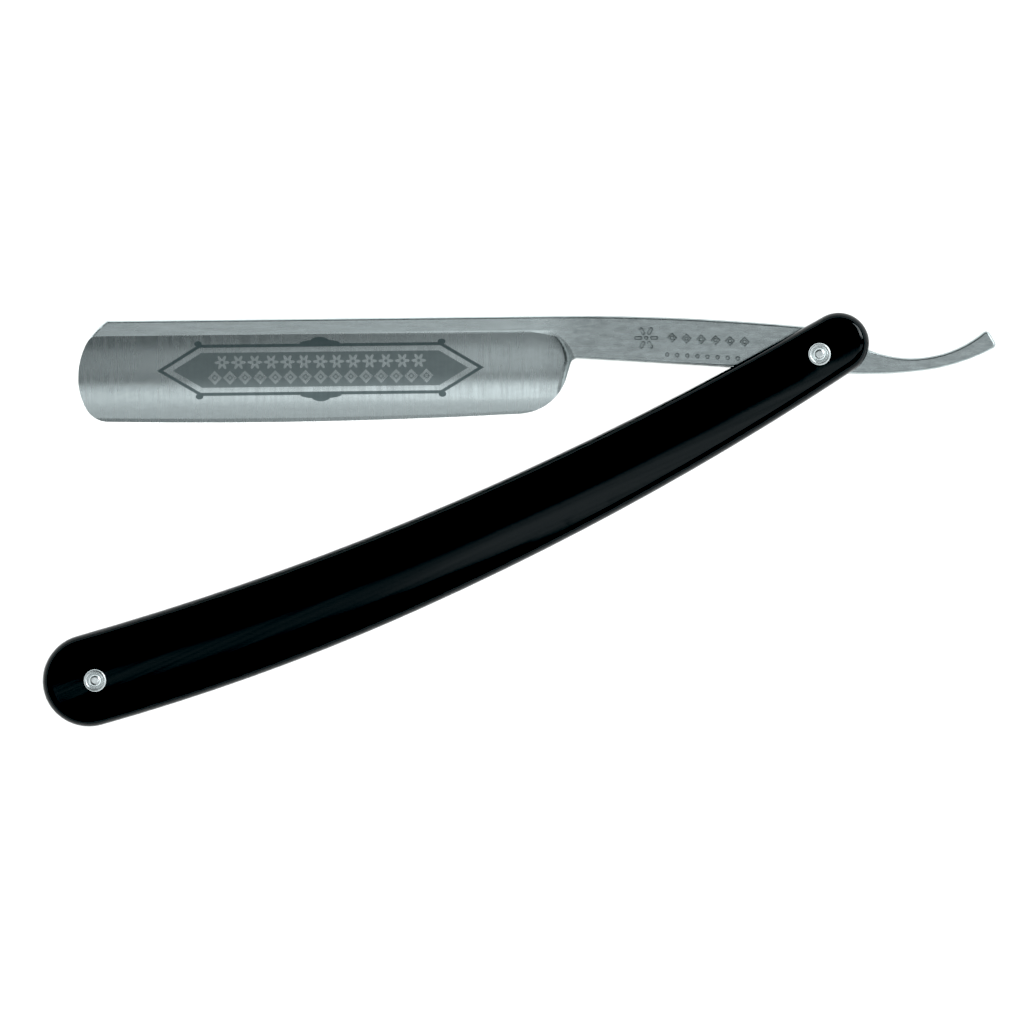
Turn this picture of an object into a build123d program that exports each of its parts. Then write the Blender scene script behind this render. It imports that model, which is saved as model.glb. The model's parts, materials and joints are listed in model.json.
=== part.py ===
from build123d import *
import math
import os

# Straight razor, in millimetres: a hollow-ground steel blade that folds between two curved
# handle scales. It lies on its side: +Z is up, along the pins, +X runs from the wedge pin to
# the pivot pin, and the blade opens to the +Y side. The pieces are made with the pivot pin's
# axis at x = y = 0, and the last lines move them all, to put the origin under the middle of
# the whole razor. The centre plane halves the razor's thickness.

# ---- driving sizes ----------------------------------------------------------------------------
pin_spacing = 125.3            # pivot pin to wedge pin
closed_angle = 2.2             # spine to pin line when shut, in degrees
rest_opening = 21.4            # how far the blade stands open as modelled, in degrees

# Scales: two end circles, joined by long arcs through the waist above and the belly below.
pivot_end = (3.6, 0.35)        # centre of the rounded end at the pivot
pivot_end_radius = 4.85
butt_end_offset = (-1.1, 0.4)  # centre of the rounded butt, from the wedge pin
butt_end_radius = 7.3
waist = (-54.6, 2.4)           # lowest point of the hollow upper edge
belly = (-73.9, -10.8)         # lowest point of the full lower edge
scale_thickness = 2.6
crown_radius = 40.0            # across the outer face
crown_spread = 1.6             # half width of the crown's cutter, in butt radii
rim_radius = 1.6               # round of the outer edge
rim_land = 0.05                # least flat left on the side, between the rounds
inner_edge_radius = 0.25
wedge_thickness = 3.6          # gap between the scales at the wedge pin

# Pins, collars and washers
pin_radius = 0.8
pin_clearance = 0.02           # pin to scale, collar and washer
running_clearance = 0.04       # pin to blade
head_radius = 1.08
head_height = 0.42
head_flat_radius = 0.45
collar_radius = 1.8
collar_rim_height = 0.55
collar_land_height = 0.3
collar_land_radius = 1.17
seat_depth = 0.15              # how far a collar is let into its scale
seat_clearance = 0.1
washer_radius = 3.0
washer_thickness = 0.45
washer_play = 0.02             # washer to scale
side_play = 0.03               # washer to blade

# Wedge between the scales at the butt
wedge_length = 6.7             # from the wedge pin towards the blade
wedge_inset = 0.25             # from the scales' outline
wedge_end_sag = 0.8            # hollow of its inner end

# Blade, in its own frame: the pivot at the origin, the spine's top parallel to x
spine_height = 6.7
spine_half = 2.35              # half thickness of the spine
spine_flank = 2.5              # from the spine's top to the hollow
hollow_thin_half = 0.09        # half thickness at the hollow's thinnest line
hollow_thin_depth = 14.0       # and that line's distance from the spine's top
shoulder_start = -44.5         # where the shoulder's curve begins
shoulder_lead = 0.4            # how far above the hollow's upper border that is
shoulder_end = (-38.4, -0.6)   # where it reaches the tang's lower edge
shoulder_foot = (-39.2, -6.0)  # and where it runs on towards, beside the heel
shoulder_runout = 4            # how far it runs on, in lengths of that stretch
shoulder_slope = 40            # of the wall between the tang and the hollow, from upright
shoulder_round = 1.0           # where that wall meets the hollow
edge_half = 0.03               # half thickness at the very edge
bevel_angle = 9.8              # each side of the cutting edge, in degrees
bevel_reach = 1.5              # how far the bevelling cut reaches in from the edge
bevel_overrun = 6.0            # and how far it is carried past the edge's ends
nose_tip = (-117.4, -2.6)
nose_spine = -112.6            # where the spine ends at the nose
nose_mid = (-116.15, -7.3)
edge_start = (-112.9, -9.28)
edge_low = (-80.0, -9.58)
edge_end = (-47.2, -8.72)
heel_corner = (-40.0, -3.45)
tang_corner = (-38.95, -0.03)  # where heel and tang would meet without the round
tang_corner_radius = 1.1
tang_low = (4.0, -2.93)
tang_high = (-2.0, 4.55)       # upper edge above the pivot
spine_end = -42.0              # where the upper edge begins to fall towards it
tail_dip = (5.9, 1.9)          # upper edge, where the tang turns into the tail
tail_low = (17.0, -2.6)
tail_tip_low = (28.5, 1.1)
tail_tip_high = (26.9, 3.9)
tail_corner_radius = 0.7
tang_half = 1.75               # half thickness at the pivot
tang_flat = 3.0                # how far past a washer that holds, towards the blade
tail_flat = 1.5                # and towards the tail
tang_root_half = 1.82          # and beside the shoulder
tang_root = -38.5
spine_thinning = -45.5         # where the spine begins to thin towards the tang
tail_waist = 17.0              # the tail's thinnest place
tail_half = 1.5
tail_end_half = 1.85
outline_round = 0.45           # long edges of the spine, tang and tail
least_run = 0.05               # share of its length that a long edge runs along the blade

# Ornament struck into the front of the tang: a flower, then a row of lozenges over one of dots
strike_depth = 0.2
strike_slope = 30              # of its walls, from upright
flower_centre = (-27.2, 3.0)
petal_count = 6
petal_length = 1.35
petal_width = 0.62
petal_reach = 1.25             # flower's centre to a petal's
dot_radius = 0.36
dot_start = (-23.9, 0.35)
dot_pitch = 1.6
dot_count = 8
lozenge_start = (-23.1, 3.0)
lozenge_pitch = 2.3
lozenge_count = 6
lozenge_side = 1.15

# ---- places worked out from them --------------------------------------------------------------
half_gap = tang_half + side_play + washer_thickness + washer_play
taper = (half_gap - wedge_thickness / 2) / pin_spacing
head_rise = collar_land_height + head_height
seat_height = half_gap + scale_thickness - seat_depth
rest_height = seat_height + head_rise

centre_plane = Plane.XY.offset(rest_height)
blade_plane = centre_plane.rotated((0, 0, -(closed_angle + rest_opening)))
scale_plane = Plane(
    origin=(0, 0, rest_height + half_gap), x_dir=(1, 0, taper), z_dir=(-taper, 0, 1)
)
stations = {"pivot": 0.0, "wedge": -pin_spacing}
butt_end = (butt_end_offset[0] - pin_spacing, butt_end_offset[1])
ends = {"pivot": (pivot_end, pivot_end_radius), "butt": (butt_end, butt_end_radius)}


def lift(x):
    """A collar's seat on the front scale, above the centre plane, for the pin at x."""
    return seat_height + taper * x


def on_end(flat_point, centre, radius, side):
    """Where a long arc, level at flat_point, touches an end circle. side is 1 above, -1 below."""
    across = centre[0] - flat_point[0]
    rise = centre[1] - flat_point[1]
    arc_radius = (across**2 + rise**2 - radius**2) / (2 * (rise + side * radius))
    to_arc = Vector(-across, arc_radius - rise).normalized()
    return Vector(*centre) + to_arc * side * radius


def scale_outline():
    """Adds the outline shared by the scales and the wedge to the open line."""
    for end, (centre, radius) in ends.items():
        outward = 1 if end == "pivot" else -1
        high = on_end(waist, centre, radius, 1)
        low = on_end(belly, centre, radius, -1)
        TangentArc(waist, high, tangent=(outward, 0))
        TangentArc(belly, low, tangent=(outward, 0))
        ThreePointArc(high, (centre[0] + outward * radius, centre[1]), low)


def arc_chain(heading, *points):
    """Adds arcs through the points, the first leaving along heading and none turning a corner."""
    for start, end in zip(points, points[1:]):
        heading = TangentArc(start, end, tangent=heading) % 1
    return heading


# ---- handle scales ----------------------------------------------------------------------------
# The crown is turned about the centre of the handle's own curve, so it follows the bend.
halfway = ((waist[0] + belly[0]) / 2, (waist[1] + belly[1]) / 2)
bend = Edge.make_three_point_arc(pivot_end, halfway, butt_end)
bend_plane = Plane(
    origin=scale_plane.from_local_coords(bend.arc_center),
    x_dir=-scale_plane.y_dir,
    z_dir=-scale_plane.x_dir,
)
crown_reach = crown_spread * butt_end_radius
crown_drop = crown_radius - math.sqrt(crown_radius**2 - crown_reach**2)
butt_drop = crown_radius - math.sqrt(crown_radius**2 - butt_end_radius**2)
rim_room = scale_thickness - butt_drop - inner_edge_radius - rim_land

with BuildPart() as front_scale:
    with BuildSketch(scale_plane):
        with BuildLine():
            scale_outline()
        make_face()
    extrude(amount=scale_thickness + crown_drop)
    with BuildSketch(bend_plane):
        inner = bend.radius - crown_reach
        outer = bend.radius + crown_reach
        shallow = scale_thickness - crown_drop
        with BuildLine():
            ThreePointArc((inner, shallow), (bend.radius, scale_thickness), (outer, shallow))
            Polyline(
                (outer, shallow),
                (outer, -scale_thickness),
                (inner, -scale_thickness),
                (inner, shallow),
            )
        make_face()
    revolve(axis=Axis(bend_plane.origin, scale_plane.z_dir), mode=Mode.INTERSECT)
    fillet(front_scale.faces().sort_by(Axis.Z)[-1].edges(), radius=min(rim_radius, rim_room))
    fillet(front_scale.faces().sort_by(Axis.Z)[0].edges(), radius=inner_edge_radius)
    for x in stations.values():
        with BuildSketch(centre_plane):
            with Locations((x, 0)):
                Circle(pin_radius + pin_clearance)
        extrude(amount=2 * rest_height, mode=Mode.SUBTRACT)
        with BuildSketch(centre_plane.offset(lift(x))):
            with Locations((x, 0)):
                Circle(collar_radius + seat_clearance)
        extrude(amount=scale_thickness, mode=Mode.SUBTRACT)

with BuildPart() as back_scale:
    mirror(front_scale.part, about=centre_plane)

# ---- wedge ------------------------------------------------------------------------------------
wedge_face_x = wedge_length - pin_spacing
wedge_back_x = butt_end[0] - 2 * butt_end_radius
wedge_reach = 2 * butt_end_radius
with BuildPart() as wedge:
    with BuildSketch(centre_plane):
        with BuildLine():
            scale_outline()
        make_face()
        offset(amount=-wedge_inset)
        with BuildLine():
            high = (wedge_face_x, wedge_reach)
            low = (wedge_face_x, -wedge_reach)
            ThreePointArc(high, (wedge_face_x - wedge_end_sag, 0), low)
            Polyline(low, (wedge_back_x, -wedge_reach), (wedge_back_x, wedge_reach), high)
        make_face(mode=Mode.INTERSECT)
    extrude(amount=half_gap, both=True)
    # the scales' inner faces, seen from the side
    with BuildSketch(Plane.XZ):
        back_half = half_gap + taper * wedge_back_x
        with BuildLine():
            Polyline(
                (0, rest_height + half_gap),
                (wedge_back_x, rest_height + back_half),
                (wedge_back_x, rest_height - back_half),
                (0, rest_height - half_gap),
                close=True,
            )
        make_face()
    extrude(amount=wedge_reach, both=True, mode=Mode.INTERSECT)
    with BuildSketch(centre_plane):
        with Locations((-pin_spacing, 0)):
            Circle(pin_radius + pin_clearance)
    extrude(amount=half_gap, both=True, mode=Mode.SUBTRACT)

# ---- pins, collars and washers ----------------------------------------------------------------
pieces = {"front_scale": front_scale, "back_scale": back_scale, "wedge": wedge}
for station, x in stations.items():
    section = Plane(origin=(x, 0, rest_height), x_dir=(1, 0, 0), z_dir=(0, -1, 0))
    land = lift(x) + collar_land_height
    crest = land + head_height

    with BuildPart() as pin:
        with BuildSketch(section):
            with BuildLine():
                Polyline((0, 0), (pin_radius, 0), (pin_radius, land), (head_radius, land))
                TangentArc((head_flat_radius, crest), (head_radius, land), tangent=(1, 0))
                Polyline((head_flat_radius, crest), (0, crest), (0, 0))
            make_face()
        revolve(axis=Axis(section.origin, (0, 0, 1)))
        mirror(about=centre_plane)
    pieces[f"{station}_pin"] = pin

    with BuildPart() as front_collar:
        with BuildSketch(section):
            hole = pin_radius + pin_clearance
            rim_round = collar_rim_height / 2
            rim_side = (collar_radius, lift(x) + rim_round)
            rim_top = (collar_radius - rim_round, lift(x) + collar_rim_height)
            with BuildLine():
                Polyline((hole, land), (hole, lift(x)), (collar_radius, lift(x)), rim_side)
                arc_chain((0, 1), rim_side, rim_top, (collar_land_radius, land))
                Line((collar_land_radius, land), (hole, land))
            make_face()
        revolve(axis=Axis(section.origin, (0, 0, 1)))
    pieces[f"{station}_collar_front"] = front_collar

    with BuildPart() as back_collar:
        mirror(front_collar.part, about=centre_plane)
    pieces[f"{station}_collar_back"] = back_collar

with BuildPart() as front_washer:
    with BuildSketch(centre_plane.offset(tang_half + side_play)):
        Circle(washer_radius)
        Circle(pin_radius + pin_clearance, mode=Mode.SUBTRACT)
    extrude(amount=washer_thickness)
pieces["pivot_washer_front"] = front_washer

with BuildPart() as back_washer:
    mirror(front_washer.part, about=centre_plane)
pieces["pivot_washer_back"] = back_washer

# ---- blade ------------------------------------------------------------------------------------
# Seen from the spine, and from the tail, in the blade's own frame
spine_view = Plane(blade_plane.origin, x_dir=blade_plane.x_dir, z_dir=-blade_plane.y_dir)
end_view = Plane(blade_plane.origin, x_dir=blade_plane.y_dir, z_dir=blade_plane.x_dir)
blade_reach = pin_spacing
edge = Edge.make_three_point_arc(edge_start, edge_low, edge_end)
bevel_start = Vector(*edge_start) - (edge % 0) * bevel_overrun
edge_centre = blade_plane.from_local_coords(edge.arc_center)
bevel_outward = blade_plane.from_local_coords(bevel_start) - edge_centre
bevel_plane = Plane(
    edge_centre, x_dir=bevel_outward, z_dir=bevel_outward.cross(blade_plane.z_dir)
)
hollow_run = hollow_thin_depth - spine_flank
hollow_sink = spine_half - hollow_thin_half
hollow_radius = (hollow_run**2 + hollow_sink**2) / (2 * hollow_sink)
tang_fall = (Vector(*tang_low) - Vector(*tang_corner)).normalized()
tang_flat_end = -(washer_radius + tang_flat)
tang_slope = (tang_half - tang_root_half) / (tang_flat_end - tang_root)
tang_face = Plane(
    blade_plane.from_local_coords((0, 0, tang_root_half - tang_slope * tang_root)),
    x_dir=blade_plane.x_dir + blade_plane.z_dir * tang_slope,
    z_dir=blade_plane.z_dir - blade_plane.x_dir * tang_slope,
)


def is_wall_foot(line):
    """True for the hollow's edges along the foot of the shoulder's wall."""
    return blade_plane.to_local_coords(line @ 0.5).X > shoulder_start


# One side's hollow: the grinding wheel's round, stopped at the shoulder by a sloping wall.
with BuildPart() as hollow:
    with BuildSketch(end_view):
        with Locations((spine_height - hollow_thin_depth, hollow_thin_half + hollow_radius)):
            Circle(hollow_radius)
    extrude(amount=blade_reach, both=True)
    with BuildSketch(blade_plane.offset(spine_half)):
        ground_top = spine_height - spine_flank + shoulder_lead
        foot_run = Vector(*shoulder_foot) - Vector(*shoulder_end)
        drop_out = Vector(*shoulder_foot) + foot_run * shoulder_runout
        with BuildLine():
            arc_chain((1, 0), (shoulder_start, ground_top), shoulder_end)
            Polyline(
                shoulder_end,
                drop_out,
                (-blade_reach, drop_out.Y),
                (-blade_reach, ground_top),
                (shoulder_start, ground_top),
            )
        make_face()
    extrude(amount=-spine_half, taper=shoulder_slope, mode=Mode.INTERSECT)
    wall_foot = hollow.edges().filter_by(GeomType.BSPLINE).filter_by(is_wall_foot)
    fillet(wall_foot, radius=shoulder_round)


def is_long_edge(line):
    """True for the edges along the spine, the tang and the tail on the blade's front."""
    place = blade_plane.to_local_coords(line @ 0.5)
    lengthwise = abs((line % 0.5).dot(blade_plane.x_dir)) > least_run
    along_spine = place.Y > spine_height - outline_round
    return place.Z > tail_half / 2 and lengthwise and (along_spine or place.X > tang_corner[0])


# Both sides are alike, so the front half is shaped and then mirrored.
with BuildPart() as blade:
    with BuildSketch(blade_plane) as side_view:
        with BuildLine():
            Line((nose_spine, spine_height), (spine_end, spine_height))
            arc_chain((1, 0), (spine_end, spine_height), tang_high, tail_dip, tail_tip_high)
            Line(tail_tip_high, tail_tip_low)
            tang_line = Line(tang_corner, tang_low)
            arc_chain(tang_line % 1, tang_low, tail_low, tail_tip_low)
            Line(tang_corner, heel_corner)
            ThreePointArc(edge_start, edge_low, edge_end)
            arc_chain(edge % 1, edge_end, heel_corner)
            arc_chain((0, 1), nose_tip, (nose_spine, spine_height))
            arc_chain((0, -1), nose_tip, nose_mid, edge_start)
        make_face()
        fillet(side_view.vertices().sort_by_distance(tang_corner)[0], radius=tang_corner_radius)
        for tip in (tail_tip_low, tail_tip_high):
            fillet(side_view.vertices().sort_by_distance(tip)[0], radius=tail_corner_radius)
    extrude(amount=spine_half)
    # thickness, seen from the spine
    with BuildSketch(spine_view):
        tail_end = tail_tip_low[0] + 1
        with BuildLine():
            Polyline(
                (-blade_reach, 0),
                (-blade_reach, spine_half),
                (spine_thinning, spine_half),
                (tang_root, tang_root_half),
                (tang_flat_end, tang_half),
                (washer_radius + tail_flat, tang_half),
                (tail_waist, tail_half),
                (tail_end, tail_end_half),
                (tail_end, 0),
                close=True,
            )
        make_face()
    extrude(amount=blade_reach, both=True, mode=Mode.INTERSECT)
    fillet(blade.edges().filter_by(is_long_edge), radius=outline_round)
    add(hollow.part, mode=Mode.SUBTRACT)
    with BuildSketch(blade_plane):
        Circle(pin_radius + running_clearance)
    extrude(amount=spine_half, mode=Mode.SUBTRACT)

    # bevel of the cutting edge, turned about the centre of the edge's own curve
    bevel_rise = bevel_reach * math.tan(math.radians(bevel_angle))
    bevel_turn = math.degrees((edge.length + 2 * bevel_overrun) / edge.radius)
    with BuildSketch(bevel_plane):
        inner = edge.radius - bevel_reach
        outer = edge.radius + bevel_reach
        with BuildLine():
            Polyline(
                (inner, edge_half + bevel_rise),
                (outer, edge_half - bevel_rise),
                (outer, spine_half),
                (inner, spine_half),
                close=True,
            )
        make_face()
    revolve(
        axis=Axis(bevel_plane.origin, blade_plane.z_dir),
        revolution_arc=bevel_turn,
        mode=Mode.SUBTRACT,
    )
    mirror(about=centre_plane)

    # the struck ornament, its rows sinking with the tang's lower edge
    with BuildSketch(tang_face):
        with Locations(flower_centre):
            Circle(dot_radius)
            with PolarLocations(petal_reach, petal_count):
                SlotOverall(petal_length, petal_width)
        for i in range(dot_count):
            with Locations(Vector(*dot_start) + tang_fall * dot_pitch * i):
                Circle(dot_radius)
        for i in range(lozenge_count):
            with Locations(Vector(*lozenge_start) + tang_fall * lozenge_pitch * i):
                Rectangle(lozenge_side, lozenge_side, rotation=45)
                Circle(dot_radius / 2, mode=Mode.SUBTRACT)
    extrude(amount=-strike_depth, taper=strike_slope, mode=Mode.SUBTRACT)
pieces["blade"] = blade

# ---- files ------------------------------------------------------------------------------------
# The origin goes under the middle of the whole razor, on the surface it lies on.
middle = Compound([piece.part for piece in pieces.values()]).bounding_box().center()
os.makedirs("parts", exist_ok=True)
for name, piece in pieces.items():
    placed = piece.part.moved(Location((-middle.X, -middle.Y, 0)))
    placed.label = name
    export_step(placed, f"parts/{name}.step")
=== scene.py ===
"""Finishes, studio and camera for a folding straight razor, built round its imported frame."""
import json
import math

import bpy
from mathutils import Matrix, Vector

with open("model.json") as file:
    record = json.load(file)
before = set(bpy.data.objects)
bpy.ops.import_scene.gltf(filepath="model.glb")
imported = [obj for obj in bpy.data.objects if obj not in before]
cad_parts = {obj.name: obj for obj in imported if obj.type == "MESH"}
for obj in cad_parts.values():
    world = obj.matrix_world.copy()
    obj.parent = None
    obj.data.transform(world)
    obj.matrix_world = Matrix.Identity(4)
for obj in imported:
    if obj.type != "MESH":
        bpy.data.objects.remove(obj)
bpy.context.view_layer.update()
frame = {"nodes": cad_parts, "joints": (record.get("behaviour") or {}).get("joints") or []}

bl_info = {
    "name": "Straight Razor",
    "version": (1, 0, 0),
    "blender": (4, 5, 0),
    "location": "View3D > Sidebar > Razor",
    "description": "Gives a straight razor its steel, plastic and brass, and sets up a studio",
    "category": "Object",
}

MM = 0.001

# The blade's own frame: the pivot at its origin, x along the spine towards the tail, y towards
# the spine and z out of the front. Places in it are in millimetres.
hinge = frame["joints"][0]
pivot = Vector(hinge["pos_m"])
closed_angle = 2.2             # spine to pin line when shut, in degrees
blade_turn = math.radians(hinge["range_deg"][0] - closed_angle)
blade_x = Matrix.Rotation(blade_turn, 3, "Z") @ Vector((1, 0, 0))
blade_y = Matrix.Rotation(blade_turn, 3, "Z") @ Vector((0, 1, 0))


def linear(hex_colour):
    """An sRGB hex colour as linear red, green and blue."""
    channels = [int(hex_colour[i:i + 2], 16) / 255 for i in (0, 2, 4)]
    return [c / 12.92 if c <= 0.04045 else ((c + 0.055) / 1.055) ** 2.4 for c in channels]


def put(tree, kind, inputs=None, **settings):
    """Adds a node, sets its own settings, and sets or links its inputs. An input given as a node
    is linked to that node's first output."""
    node = tree.nodes.new(kind)
    for name, value in settings.items():
        setattr(node, name, value)
    for socket, value in (inputs or {}).items():
        if isinstance(value, bpy.types.Node):
            value = value.outputs[0]
        if isinstance(value, bpy.types.NodeSocket):
            tree.links.new(value, node.inputs[socket])
        else:
            node.inputs[socket].default_value = value
    return node


def new_material(name):
    """An empty material, with its node tree."""
    material = bpy.data.materials.new(name)
    material.use_nodes = True
    material.node_tree.nodes.clear()
    return material, material.node_tree


def dress(material, *nodes):
    """Gives CAD nodes a material."""
    for name in nodes:
        frame["nodes"][name].data.materials[0] = material


class BladeSettings(bpy.types.PropertyGroup):
    """Colours and grinding of the blade."""

    steel: bpy.props.FloatVectorProperty(
        name="Steel",
        description="Colour of the ground carbon steel",
        subtype="COLOR",
        default=linear("D0D7D7"),
        min=0.0,
        max=1.0,
    )
    etch: bpy.props.FloatVectorProperty(
        name="Etching",
        description="Colour of the acid-darkened panel",
        subtype="COLOR",
        default=linear("7A8485"),
        min=0.0,
        max=1.0,
    )
    roughness: bpy.props.FloatProperty(
        name="Roughness",
        description="Roughness of the ground hollow",
        subtype="FACTOR",
        default=0.26,
        min=0.0,
        max=1.0,
    )
    grind_pitch: bpy.props.FloatProperty(
        name="Grinding lines",
        description="Distance between the grinding lines",
        unit="LENGTH",
        default=0.6 * MM,
        min=0.05 * MM,
        max=2 * MM,
    )
    grind_depth: bpy.props.FloatProperty(
        name="Line depth",
        description="Depth of a grinding line",
        unit="LENGTH",
        default=0.0008 * MM,
        min=0.0,
        max=0.1 * MM,
    )


class HandleSettings(bpy.types.PropertyGroup):
    """Colours of the scales and the wedge."""

    plastic: bpy.props.FloatVectorProperty(
        name="Plastic",
        description="Colour of the scales",
        subtype="COLOR",
        default=linear("050809"),
        min=0.0,
        max=1.0,
    )
    wedge: bpy.props.FloatVectorProperty(
        name="Wedge",
        description="Colour of the wedge between the scales",
        subtype="COLOR",
        default=linear("0B0C0D"),
        min=0.0,
        max=1.0,
    )
    roughness: bpy.props.FloatProperty(
        name="Roughness",
        description="Roughness of the buffed scales",
        subtype="FACTOR",
        default=0.12,
        min=0.0,
        max=1.0,
    )


class FittingSettings(bpy.types.PropertyGroup):
    """Colours of the pins, collars and washers."""

    nickel_silver: bpy.props.FloatVectorProperty(
        name="Nickel silver",
        description="Colour of the pins and collars",
        subtype="COLOR",
        default=linear("E2E6E6"),
        min=0.0,
        max=1.0,
    )
    brass: bpy.props.FloatVectorProperty(
        name="Brass",
        description="Colour of the washers",
        subtype="COLOR",
        default=linear("C9A255"),
        min=0.0,
        max=1.0,
    )


class StageSettings(bpy.types.PropertyGroup):
    """The floor and the camera."""

    floor: bpy.props.FloatVectorProperty(
        name="Floor",
        description="Colour of the floor",
        subtype="COLOR",
        default=linear("F4F4F3"),
        min=0.0,
        max=1.0,
    )
    floor_size: bpy.props.FloatProperty(
        name="Floor size", description="Side of the floor", unit="LENGTH", default=6.0, min=1.0
    )
    camera_distance: bpy.props.FloatProperty(
        name="Camera distance",
        description="Height of the camera above the handle, roughly from its top",
        unit="LENGTH",
        default=0.611,
        min=0.2,
    )
    camera_roll: bpy.props.FloatProperty(
        name="Camera roll",
        description="Turn of the camera about its line of sight",
        subtype="ANGLE",
        default=math.radians(-24.246),
    )
    lens: bpy.props.FloatProperty(
        name="Lens", description="Focal length, in millimetres", default=135.0, min=20.0
    )


def blade_coordinates(tree):
    """A point's place in the blade's own frame, in millimetres."""
    place = put(tree, "ShaderNodeTexCoord")
    return put(
        tree,
        "ShaderNodeMapping",
        {
            "Vector": place.outputs["Object"],
            "Location": pivot,
            "Rotation": (0, 0, blade_turn),
            "Scale": (MM, MM, MM),
        },
        vector_type="TEXTURE",
    )


# Sizes of the blade that its finishes follow
spine_height = 6.7
spine_flank = 2.5
arris = spine_height - spine_flank   # where the spine's flat meets the hollow
shoulder_centre = (-44.5, -1.58)
shoulder_radius = 6.18
tang_start = shoulder_centre[0] + 6

# The etched panel: a long hexagon, edged with a dark line and a bright band
panel_centre = (-78.9, -1.31)
panel_half = (25.95, 4.04)
panel_corner = 19.2            # half the length of its straight sides
panel_line = 0.5
panel_band = 0.8
panel_field = 0.76             # how far its field is etched, against 1 in its line
edge_blur = 0.07               # how far an edge fades to either side

# Bosses on the panel's outline, with their place in a quarter of it and their half sizes: a lobe
# at the middle of each long side, a lower and wider one behind it, and a knob at each corner
panel_bosses = (
    ((0, panel_half[1]), (1.7, 1.05)),
    ((0, panel_half[1]), (3.3, 0.6)),
    ((panel_corner + 0.1, panel_half[1] + 0.1), (0.6, 0.45)),
)

# Bright marks in the panel: a row of flowers over a row of lozenges, each with a dot in it
mark_strength = 0.6            # how much of the etching a mark takes away
mark_dot = 0.24
flower_row = 1.2
flower_pitch = 2.6
flower_half_length = 16.9
flower_petals = 6
flower_radius = 0.86
flower_wave = 0.32             # how far a petal stands out from that radius
lozenge_row = -1.2
lozenge_pitch = 2.4
lozenge_half_length = 18.0
lozenge_outer = 1.12
lozenge_inner = 0.52


def add_steps(tree, steps):
    """A sum of soft steps: each adds its weight where its distance is below its limit."""
    total = 0.0
    for distance, limit, weight in steps:
        step = put(
            tree,
            "ShaderNodeMapRange",
            {0: distance, 1: limit + edge_blur, 2: limit - edge_blur},
            interpolation_type="SMOOTHSTEP",
        )
        total = put(
            tree, "ShaderNodeMath", {0: step, 1: weight, 2: total}, operation="MULTIPLY_ADD"
        )
    return total


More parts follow.
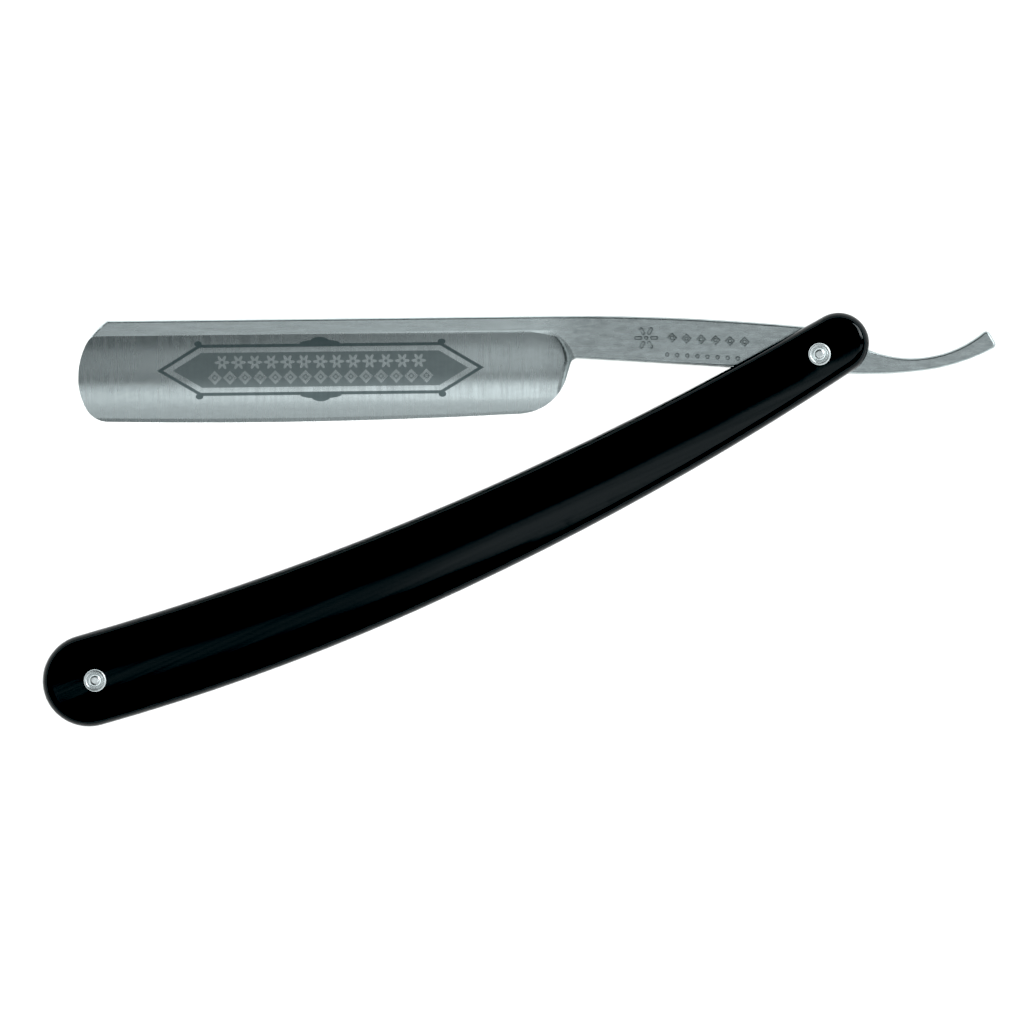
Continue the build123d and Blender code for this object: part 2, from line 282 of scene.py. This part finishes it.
def etched_panel(tree, point):
    """How far a point of the front is etched: 1 in the panel's line, less in its field and its
    marks, and 0 outside it."""
    local = put(
        tree, "ShaderNodeVectorMath", {0: point, 1: (*panel_centre, 0)}, operation="SUBTRACT"
    )
    quarter = put(tree, "ShaderNodeVectorMath", {0: local}, operation="ABSOLUTE")
    quarter_axes = put(tree, "ShaderNodeSeparateXYZ", {0: quarter})
    # distance outside the long sides, and outside the slanting ends
    above = put(
        tree,
        "ShaderNodeMath",
        {0: quarter_axes.outputs["Y"], 1: panel_half[1]},
        operation="SUBTRACT",
    )
    run = panel_half[0] - panel_corner
    slant = math.hypot(run, panel_half[1])
    beyond = put(
        tree,
        "ShaderNodeVectorMath",
        {0: quarter, 1: (panel_half[1] / slant, run / slant, 0)},
        operation="DOT_PRODUCT",
    ).outputs["Value"]
    beyond = put(
        tree,
        "ShaderNodeMath",
        {0: beyond, 1: panel_half[0] * panel_half[1] / slant},
        operation="SUBTRACT",
    )
    outside = put(tree, "ShaderNodeMath", {0: above, 1: beyond}, operation="MAXIMUM")
    etched = add_steps(
        tree,
        (
            (outside, -panel_line - panel_band, panel_field),
            (outside, 0.0, 1),
            (outside, -panel_line, -1),
        ),
    )

    for place, size in panel_bosses:
        boss = put(
            tree, "ShaderNodeVectorMath", {0: quarter, 1: (*place, 0)}, operation="SUBTRACT"
        )
        boss = put(
            tree,
            "ShaderNodeVectorMath",
            {0: boss, 1: (1 / size[0], 1 / size[1], 0)},
            operation="MULTIPLY",
        )
        reach = put(tree, "ShaderNodeVectorMath", {0: boss}, operation="LENGTH").outputs["Value"]
        shape = add_steps(tree, ((reach, 1.0, 1), (outside, -panel_line, -1)))
        etched = put(tree, "ShaderNodeMath", {0: etched, 1: shape}, operation="MAXIMUM")

    axes = put(tree, "ShaderNodeSeparateXYZ", {0: local})
    rows = []
    for row, pitch, half_length in (
        (flower_row, flower_pitch, flower_half_length),
        (lozenge_row, lozenge_pitch, lozenge_half_length),
    ):
        # a place in the row's own cell, which repeats along it
        x = put(
            tree,
            "ShaderNodeMath",
            {0: axes.outputs["X"], 1: pitch / 2, 2: -pitch / 2},
            operation="WRAP",
        )
        y = put(tree, "ShaderNodeMath", {0: axes.outputs["Y"], 1: row}, operation="SUBTRACT")
        cell = put(tree, "ShaderNodeCombineXYZ", {"X": x, "Y": y})
        reach = put(tree, "ShaderNodeVectorMath", {0: cell}, operation="LENGTH").outputs["Value"]
        if row == flower_row:
            turn = put(tree, "ShaderNodeMath", {0: y, 1: x}, operation="ARCTAN2")
            turn = put(tree, "ShaderNodeMath", {0: turn, 1: flower_petals}, operation="MULTIPLY")
            wave = put(tree, "ShaderNodeMath", {0: turn}, operation="COSINE")
            petal = put(
                tree,
                "ShaderNodeMath",
                {0: wave, 1: -flower_wave, 2: reach},
                operation="MULTIPLY_ADD",
            )
            mark = add_steps(tree, ((petal, flower_radius, 1), (reach, mark_dot, -1)))
        else:
            corner = put(tree, "ShaderNodeVectorMath", {0: cell}, operation="ABSOLUTE")
            skew = put(
                tree, "ShaderNodeVectorMath", {0: corner, 1: (1, 1, 0)}, operation="DOT_PRODUCT"
            ).outputs["Value"]
            mark = add_steps(
                tree,
                ((skew, lozenge_outer, 1), (skew, lozenge_inner, -1), (reach, mark_dot, 1)),
            )
        within = add_steps(tree, ((quarter_axes.outputs["X"], half_length, 1),))
        rows.append(put(tree, "ShaderNodeMath", {0: mark, 1: within}, operation="MULTIPLY"))
    marks = put(tree, "ShaderNodeMath", {0: rows[0], 1: rows[1]}, operation="MAXIMUM")
    marks = put(tree, "ShaderNodeMath", {0: marks, 1: mark_strength}, operation="MULTIPLY")
    return put(
        tree, "ShaderNodeMath", {0: etched, 1: marks}, operation="SUBTRACT", use_clamp=True
    )


# Tones of the steel, as factors of its colour
line_tones = (0.96, 1.03)      # across the grinding lines
# painted shade, darkening the shoulder's foot
foot_shade_tone = 0.55               # at the shoulder's foot
tang_tone = 0.76
# painted highlight along the arris between spine and hollow
arris_highlight_tone = 1.35
# darker in creases and recesses, by ambient occlusion: painted shade, and grime in the struck
# mark
grime_and_shade_tone = 0.3
mean_tone = 0.97
blade_blotches = 0.04          # how far the blotches lighten and darken the ground part
tang_blotches = 0.13

line_reach = (0.25, 0.75)      # the span of the line noise that its effects spread over
line_roughness = 0.03          # how far the lines raise and lower the roughness
etch_roughness = 0.12          # what etching adds to the roughness
crease_size = 0.35 * MM


def steel_material(settings):
    """Carbon steel, hollow-ground and glazed with fine grit: satin, with faint lines across the
    hollow where the wheel ran, and along the spine and tang. Painted shade darkens the
    shoulder's foot, shade and grime darken the creases, and a painted highlight brightens the
    arris."""
    material, tree = new_material("Hollow-ground carbon steel")
    point = blade_coordinates(tree)
    axes = put(tree, "ShaderNodeSeparateXYZ", {0: point})

    # the ground hollow: short of the shoulder's curve and below the flat of the spine
    corner = put(
        tree, "ShaderNodeVectorMath", {0: point, 1: (*shoulder_centre, 0)}, operation="SUBTRACT"
    )
    corner = put(tree, "ShaderNodeVectorMath", {0: corner, 1: (1, 1, 0)}, operation="MULTIPLY")
    corner = put(tree, "ShaderNodeVectorMath", {0: corner}, operation="MAXIMUM")
    reach = put(tree, "ShaderNodeVectorMath", {0: corner}, operation="LENGTH").outputs["Value"]
    short = put(
        tree,
        "ShaderNodeMapRange",
        {0: reach, 1: shoulder_radius + 0.1, 2: shoulder_radius - 0.1},
    )
    below = put(
        tree, "ShaderNodeMapRange", {0: axes.outputs["Y"], 1: arris + 0.05, 2: arris - 0.05}
    )
    hollow = put(tree, "ShaderNodeMath", {0: short, 1: below}, operation="MULTIPLY")

    # painted shade: the shoulder's foot darkens towards the wall, where its concave curve lies in
    # shade
    foot_shade = hollow
    for place, start, end in (
        (axes.outputs["X"], shoulder_centre[0] + 1, shoulder_centre[0] + 4.5),
        (reach, shoulder_radius - 2.4, shoulder_radius - 0.5),
    ):
        near = put(
            tree,
            "ShaderNodeMapRange",
            {0: place, 1: start, 2: end},
            interpolation_type="SMOOTHSTEP",
        )
        foot_shade = put(tree, "ShaderNodeMath", {0: foot_shade, 1: near}, operation="MULTIPLY")

    # a painted highlight along the arris between spine and hollow, brightest near the shoulder
    off_arris = put(
        tree, "ShaderNodeMath", {0: axes.outputs["Y"], 1: arris}, operation="SUBTRACT"
    )
    off_arris = put(tree, "ShaderNodeMath", {0: off_arris}, operation="ABSOLUTE")
    arris_highlight = 1.0
    for place, start, end in (
        (off_arris, 0.3, 0.12),
        (axes.outputs["X"], -80.0, -56.0),
        (axes.outputs["X"], -41.0, -44.0),
    ):
        near = put(tree, "ShaderNodeMapRange", {0: place, 1: start, 2: end})
        arris_highlight = put(tree, "ShaderNodeMath", {0: arris_highlight, 1: near}, operation="MULTIPLY")

    # grinding lines, drawn a few times coarser than the real grit so that they show: across the
    # blade in the hollow, and along it elsewhere
    pitch = settings.grind_pitch / MM
    streaks = []
    for stretch in ((1 / pitch, 0.15, 0.15), (0.15, 1 / pitch, 1 / pitch)):
        stretched = put(
            tree, "ShaderNodeVectorMath", {0: point, 1: stretch}, operation="MULTIPLY"
        )
        streaks.append(
            put(
                tree,
                "ShaderNodeTexNoise",
                {"Vector": stretched, "Scale": 1.0, "Detail": 1.0, "Roughness": 0.5},
            )
        )
    lines = put(
        tree, "ShaderNodeMix", {0: hollow, 2: streaks[1], 3: streaks[0]}, data_type="FLOAT"
    )

    # forging and handling leave soft blotches, longer than wide, and most of all on the tang
    stretched = put(
        tree, "ShaderNodeVectorMath", {0: point, 1: (0.6, 1.5, 1.5)}, operation="MULTIPLY"
    )
    cloud = put(
        tree,
        "ShaderNodeTexNoise",
        {"Vector": stretched, "Scale": 1.0, "Detail": 4.0, "Roughness": 0.6},
    )
    cloud = put(tree, "ShaderNodeMapRange", {0: cloud, 1: 0.3, 2: 0.7, 3: -1.0, 4: 1.0})
    blotch = put(
        tree,
        "ShaderNodeMapRange",
        {
            0: axes.outputs["X"],
            1: shoulder_centre[0],
            2: tang_start,
            3: blade_blotches,
            4: tang_blotches,
        },
    )
    tone = put(
        tree, "ShaderNodeMath", {0: cloud, 1: blotch, 2: mean_tone}, operation="MULTIPLY_ADD"
    )

    # each factor of the tone: what it follows, from where to where, and its values there
    # ambient occlusion finds creases and recesses, darkened below as painted shade and grime
    creases = put(tree, "ShaderNodeAmbientOcclusion", {"Distance": crease_size}, samples=8)
    for follows, span, values in (
        (lines, line_reach, line_tones),
        (foot_shade, (0, 1), (1, foot_shade_tone)),
        (axes.outputs["X"], (shoulder_centre[0], tang_start), (1, tang_tone)),
        (arris_highlight, (0, 1), (1, arris_highlight_tone)),
        (creases.outputs["AO"], (0.45, 0.95), (grime_and_shade_tone, 1)),
    ):
        factor = put(
            tree,
            "ShaderNodeMapRange",
            {0: follows, 1: span[0], 2: span[1], 3: values[0], 4: values[1]},
        )
        tone = put(tree, "ShaderNodeMath", {0: tone, 1: factor}, operation="MULTIPLY")

    front = put(tree, "ShaderNodeMath", {0: axes.outputs["Z"], 1: 0.0}, operation="GREATER_THAN")
    etched = put(
        tree, "ShaderNodeMath", {0: etched_panel(tree, point), 1: front}, operation="MULTIPLY"
    )
    base = put(
        tree,
        "ShaderNodeMix",
        {0: etched, 6: (*settings.steel, 1), 7: (*settings.etch, 1)},
        data_type="RGBA",
    ).outputs[2]
    base = put(tree, "ShaderNodeVectorMath", {0: base, "Scale": tone}, operation="SCALE")
    rough = put(
        tree,
        "ShaderNodeMapRange",
        {
            0: lines,
            1: line_reach[0],
            2: line_reach[1],
            3: settings.roughness + line_roughness,
            4: settings.roughness - line_roughness,
        },
    )
    rough = put(
        tree, "ShaderNodeMath", {0: etched, 1: etch_roughness, 2: rough}, operation="MULTIPLY_ADD"
    )
    bump = put(
        tree,
        "ShaderNodeBump",
        {"Height": lines, "Strength": 1.0, "Distance": settings.grind_depth},
    )
    # a line scatters light across itself, so the tangent lies across the lines
    across = put(
        tree, "ShaderNodeMix", {0: hollow, 4: blade_y, 5: blade_x}, data_type="VECTOR"
    ).outputs[1]
    across = put(
        tree,
        "ShaderNodeVectorTransform",
        {0: across},
        vector_type="VECTOR",
        convert_from="OBJECT",
        convert_to="WORLD",
    )
    shader = put(
        tree,
        "ShaderNodeBsdfPrincipled",
        {
            "Base Color": base,
            "Metallic": 1.0,
            "Roughness": rough,
            "Anisotropic": 0.7,
            "Tangent": across,
            "Normal": bump,
        },
    )
    put(tree, "ShaderNodeOutputMaterial", {0: shader})
    return material


# Sizes and depths of the finest patterns on the other pieces
buff_length = 50 * MM          # a polishing mark's, along the handle
buff_width = 0.5 * MM
buff_angle = math.radians(8)   # of those marks, in the handle's plane
buff_depth = 0.0004 * MM
grain_size = 0.4 * MM          # of the moulded wedge
grain_depth = 0.003 * MM
dimple_size = 0.35 * MM        # of the hammered heads
dimple_depth = 0.005 * MM
tarnish_size = 0.8 * MM        # of the brass
fibre_size = 1.5 * MM          # of the paper


def plastic_material(settings):
    """Black plastic, sawn from sheet and buffed: a deep gloss with faint polishing marks."""
    material, tree = new_material("Buffed black plastic")
    place = put(tree, "ShaderNodeTexCoord")
    stretched = put(
        tree,
        "ShaderNodeMapping",
        {
            "Vector": place.outputs["Object"],
            "Rotation": (0, 0, buff_angle),
            "Scale": (1 / buff_length, 1 / buff_width, 1 / MM),
        },
    )
    marks = put(
        tree,
        "ShaderNodeTexNoise",
        {"Vector": stretched, "Scale": 1.0, "Detail": 2.0},
    )
    rough = put(
        tree,
        "ShaderNodeMapRange",
        {0: marks, 1: 0.3, 2: 0.7, 3: settings.roughness - 0.03, 4: settings.roughness + 0.05},
    )
    bump = put(
        tree, "ShaderNodeBump", {"Height": marks, "Strength": 1.0, "Distance": buff_depth}
    )
    shader = put(
        tree,
        "ShaderNodeBsdfPrincipled",
        {
            "Base Color": (*settings.plastic, 1),
            "Roughness": rough,
            "IOR": 1.46,
            "Specular IOR Level": 0.42,
            "Normal": bump,
        },
    )
    put(tree, "ShaderNodeOutputMaterial", {0: shader})
    return material


def wedge_material(settings):
    """Moulded plastic: plain and a little dull."""
    material, tree = new_material("Moulded wedge plastic")
    place = put(tree, "ShaderNodeTexCoord")
    grain = put(
        tree,
        "ShaderNodeTexNoise",
        {"Vector": place.outputs["Object"], "Scale": 1 / grain_size, "Detail": 2.0},
    )
    rough = put(tree, "ShaderNodeMapRange", {0: grain, 3: 0.3, 4: 0.42})
    bump = put(
        tree, "ShaderNodeBump", {"Height": grain, "Strength": 1.0, "Distance": grain_depth}
    )
    shader = put(
        tree,
        "ShaderNodeBsdfPrincipled",
        {
            "Base Color": (*settings.wedge, 1),
            "Roughness": rough,
            "IOR": 1.5,
            "Normal": bump,
        },
    )
    put(tree, "ShaderNodeOutputMaterial", {0: shader})
    return material


def nickel_silver_material(settings):
    """Nickel silver, turned and then peened: bright, with fine hammer dimples."""
    material, tree = new_material("Peened nickel silver")
    place = put(tree, "ShaderNodeTexCoord")
    dimples = put(
        tree,
        "ShaderNodeTexVoronoi",
        {"Vector": place.outputs["Object"], "Scale": 1 / dimple_size},
        feature="SMOOTH_F1",
    ).outputs["Distance"]
    rough = put(tree, "ShaderNodeMapRange", {0: dimples, 3: 0.16, 4: 0.3})
    bump = put(
        tree, "ShaderNodeBump", {"Height": dimples, "Strength": 1.0, "Distance": dimple_depth}
    )
    shader = put(
        tree,
        "ShaderNodeBsdfPrincipled",
        {
            "Base Color": (*settings.nickel_silver, 1),
            "Metallic": 1.0,
            "Roughness": rough,
            "Normal": bump,
        },
    )
    put(tree, "ShaderNodeOutputMaterial", {0: shader})
    return material


def brass_material(settings):
    """Brass, stamped from sheet: yellow, with its roughness varying in soft patches."""
    material, tree = new_material("Stamped brass")
    place = put(tree, "ShaderNodeTexCoord")
    tarnish = put(
        tree,
        "ShaderNodeTexNoise",
        {"Vector": place.outputs["Object"], "Scale": 1 / tarnish_size, "Detail": 4.0},
    )
    rough = put(tree, "ShaderNodeMapRange", {0: tarnish, 3: 0.2, 4: 0.42})
    shader = put(
        tree,
        "ShaderNodeBsdfPrincipled",
        {
            "Base Color": (*settings.brass, 1),
            "Metallic": 1.0,
            "Roughness": rough,
        },
    )
    put(tree, "ShaderNodeOutputMaterial", {0: shader})
    return material


def floor_material(settings):
    """Seamless white paper, matt."""
    material, tree = new_material("Matt white paper")
    place = put(tree, "ShaderNodeTexCoord")
    fibre = put(
        tree,
        "ShaderNodeTexNoise",
        {"Vector": place.outputs["Object"], "Scale": 1 / fibre_size, "Detail": 3.0},
    )
    rough = put(tree, "ShaderNodeMapRange", {0: fibre, 3: 0.8, 4: 0.95})
    shader = put(
        tree,
        "ShaderNodeBsdfPrincipled",
        {"Base Color": (*settings.floor, 1), "Roughness": rough},
    )
    put(tree, "ShaderNodeOutputMaterial", {0: shader})
    return material


class RAZOR_OT_blade(bpy.types.Operator):
    """Gives the blade its ground and etched steel"""

    bl_idname = "razor.blade"
    bl_label = "Blade"

    def execute(self, context):
        dress(steel_material(context.scene.razor_blade), "blade")
        return {"FINISHED"}


class RAZOR_OT_scales(bpy.types.Operator):
    """Gives the handle scales their black plastic"""

    bl_idname = "razor.scales"
    bl_label = "Scales"

    def execute(self, context):
        dress(plastic_material(context.scene.razor_handle), "front_scale", "back_scale")
        return {"FINISHED"}


class RAZOR_OT_wedge(bpy.types.Operator):
    """Gives the wedge its moulded plastic"""

    bl_idname = "razor.wedge"
    bl_label = "Wedge"

    def execute(self, context):
        dress(wedge_material(context.scene.razor_handle), "wedge")
        return {"FINISHED"}


class RAZOR_OT_pins(bpy.types.Operator):
    """Gives the pins and collars their nickel silver"""

    bl_idname = "razor.pins"
    bl_label = "Pins and collars"

    def execute(self, context):
        metal = nickel_silver_material(context.scene.razor_fittings)
        for station in ("pivot", "wedge"):
            dress(metal, f"{station}_pin", f"{station}_collar_front", f"{station}_collar_back")
        return {"FINISHED"}


class RAZOR_OT_washers(bpy.types.Operator):
    """Gives the pivot washers their brass"""

    bl_idname = "razor.washers"
    bl_label = "Washers"

    def execute(self, context):
        brass = brass_material(context.scene.razor_fittings)
        dress(brass, "pivot_washer_front", "pivot_washer_back")
        return {"FINISHED"}


aim_height = 10.5              # height that the camera's distance is taken from, in millimetres
camera_aim = (-54.026, -3.82)  # what the camera looks at, in millimetres from the pivot

# The tent of white cloth: how bright its walls are, and how that changes towards the camera's
# right (X) and bottom (Y), with the headings where the change starts and ends
wall_brightness = 1.15
wall_changes = (("X", -0.1, 0.8, 0.3), ("Y", -0.1, -0.8, -0.1))
tent_colour = (0.9, 0.98, 1.0)
roof_brightness = 0.04         # as a share of the walls'
roof_angles = (52, 60)         # from straight up, where the roof ends and the walls begin

# The softboxes, laid out along the camera's right and up: their sides and ends from the middle of
# the floor and their height, in metres, and their brightness. Each has a height of its own,
# because lamps in one plane hide each other.
lamp_colour = (0.92, 0.98, 1.0)
softboxes = {
    "overhead": ((-0.9, 0.9), (-0.044, 0.22), 1.0, 0.41),
    "strip left": ((-0.9, -0.2), (-0.203, -0.044), 0.98, 0.42),
    "strip middle": ((-0.2, 0.0), (-0.203, -0.044), 0.96, 0.85),
    "strip right": ((0.0, 0.9), (-0.203, -0.044), 0.94, 1.2),
    "side": ((-0.14, 0.9), (-0.60, -0.28), 0.92, 0.5),
    "low side": ((0.0, 0.9), (-0.98, -0.60), 0.9, 0.35),
    "key": ((0.45, 0.9), (0.12, 0.7), 0.88, 5.0),
}
floor_lamp = 2.7
black_level = 0.028


class RAZOR_OT_stage(bpy.types.Operator):
    """Adds the floor, the lights and the camera"""

    bl_idname = "razor.stage"
    bl_label = "Stage"

    def execute(self, context):
        settings = context.scene.razor_stage
        half = settings.floor_size / 2
        mesh = bpy.data.meshes.new("floor")
        corners = [(-half, -half, 0), (half, -half, 0), (half, half, 0), (-half, half, 0)]
        mesh.from_pydata(corners, [], [(0, 1, 2, 3)])
        floor = bpy.data.objects.new("floor", mesh)
        context.scene.collection.objects.link(floor)
        mesh.materials.append(floor_material(settings))

        # camera, straight above
        roll = Matrix.Rotation(settings.camera_roll, 4, "Z")
        camera = bpy.data.objects.new("camera", bpy.data.cameras.new("camera"))
        context.scene.collection.objects.link(camera)
        camera.data.lens = settings.lens
        camera.data.sensor_width = 36.0
        aim = pivot + Vector((*camera_aim, 0)) * MM
        height = aim_height * MM + settings.camera_distance
        camera.matrix_world = Matrix.Translation((aim.x, aim.y, height)) @ roll
        context.scene.camera = camera

        # the tent, dark overhead and brightest on one side
        world = bpy.data.worlds.new("studio")
        context.scene.world = world
        world.use_nodes = True
        tree = world.node_tree
        tree.nodes.clear()
        place = put(tree, "ShaderNodeTexCoord")
        place = put(
            tree,
            "ShaderNodeMapping",
            {"Vector": place.outputs["Generated"], "Rotation": (0, 0, -settings.camera_roll)},
        )
        heading = put(tree, "ShaderNodeSeparateXYZ", {0: place})
        walls = wall_brightness
        for axis, start, end, change in wall_changes:
            wall = put(
                tree,
                "ShaderNodeMapRange",
                {0: heading.outputs[axis], 1: start, 2: end, 3: 0.0, 4: change},
                interpolation_type="SMOOTHSTEP",
            )
            walls = put(tree, "ShaderNodeMath", {0: wall, 1: walls}, operation="ADD")
        off = put(tree, "ShaderNodeMath", {0: heading.outputs["Z"]}, operation="ARCCOSINE")
        rise = put(
            tree,
            "ShaderNodeMapRange",
            {
                0: off,
                1: math.radians(roof_angles[0]),
                2: math.radians(roof_angles[1]),
                3: roof_brightness,
                4: 1.0,
            },
            interpolation_type="SMOOTHSTEP",
        )
        strength = put(tree, "ShaderNodeMath", {0: rise, 1: walls}, operation="MULTIPLY")
        glow = put(
            tree,
            "ShaderNodeBackground",
            {"Color": (*tent_colour, 1), "Strength": strength},
        )
        put(tree, "ShaderNodeOutputWorld", {"Surface": glow})

        for name, (sides, ends, height, brightness) in softboxes.items():
            lamp = bpy.data.lights.new(name, "AREA")
            lamp.shape = "RECTANGLE"
            lamp.size = sides[1] - sides[0]
            lamp.size_y = ends[1] - ends[0]
            lamp.energy = brightness * 4 * lamp.size * lamp.size_y
            lamp.color = lamp_colour
            box = bpy.data.objects.new(name, lamp)
            context.scene.collection.objects.link(box)
            place = Vector((sum(sides) / 2, sum(ends) / 2, height))
            box.matrix_world = roll @ Matrix.Translation(place)

        # a lamp for the floor alone keeps it white under the razor
        only_floor = bpy.data.collections.new("floor only")
        only_floor.objects.link(floor)
        lamp = bpy.data.lights.new("floor lamp", "SUN")
        lamp.energy = floor_lamp
        lamp.use_shadow = False
        wash = bpy.data.objects.new("floor lamp", lamp)
        context.scene.collection.objects.link(wash)
        wash.light_linking.receiver_collection = only_floor

        view = context.scene.view_settings
        view.use_curve_mapping = True
        view.curve_mapping.black_level = (black_level, black_level, black_level)
        view.curve_mapping.update()
        view.view_transform = "Standard"
        return {"FINISHED"}


# Each group of settings, with the operators that use it
sections = {
    "razor_blade": (BladeSettings, (RAZOR_OT_blade,)),
    "razor_handle": (HandleSettings, (RAZOR_OT_scales, RAZOR_OT_wedge)),
    "razor_fittings": (FittingSettings, (RAZOR_OT_pins, RAZOR_OT_washers)),
    "razor_stage": (StageSettings, (RAZOR_OT_stage,)),
}


class RAZOR_PT_panel(bpy.types.Panel):
    """Lists the razor's settings and pieces"""

    bl_idname = "RAZOR_PT_panel"
    bl_label = "Straight Razor"
    bl_space_type = "VIEW_3D"
    bl_region_type = "UI"
    bl_category = "Razor"

    def draw(self, context):
        for name, (_, operators) in sections.items():
            settings = getattr(context.scene, name)
            box = self.layout.box()
            for prop in settings.bl_rna.properties:
                if not prop.is_readonly and prop.identifier != "name":
                    box.prop(settings, prop.identifier)
            for operator in operators:
                box.operator(operator.bl_idname)


def register():
    for name, (group, operators) in sections.items():
        bpy.utils.register_class(group)
        setattr(bpy.types.Scene, name, bpy.props.PointerProperty(type=group))
        for operator in operators:
            bpy.utils.register_class(operator)
    bpy.utils.register_class(RAZOR_PT_panel)


def unregister():
    bpy.utils.unregister_class(RAZOR_PT_panel)
    for name, (group, operators) in sections.items():
        for operator in operators:
            bpy.utils.unregister_class(operator)
        delattr(bpy.types.Scene, name)
        bpy.utils.unregister_class(group)


def main():
    register()
    bpy.ops.razor.blade()
    bpy.ops.razor.scales()
    bpy.ops.razor.wedge()
    bpy.ops.razor.pins()
    bpy.ops.razor.washers()
    bpy.ops.razor.stage()


if __name__ == "__main__":
    main()
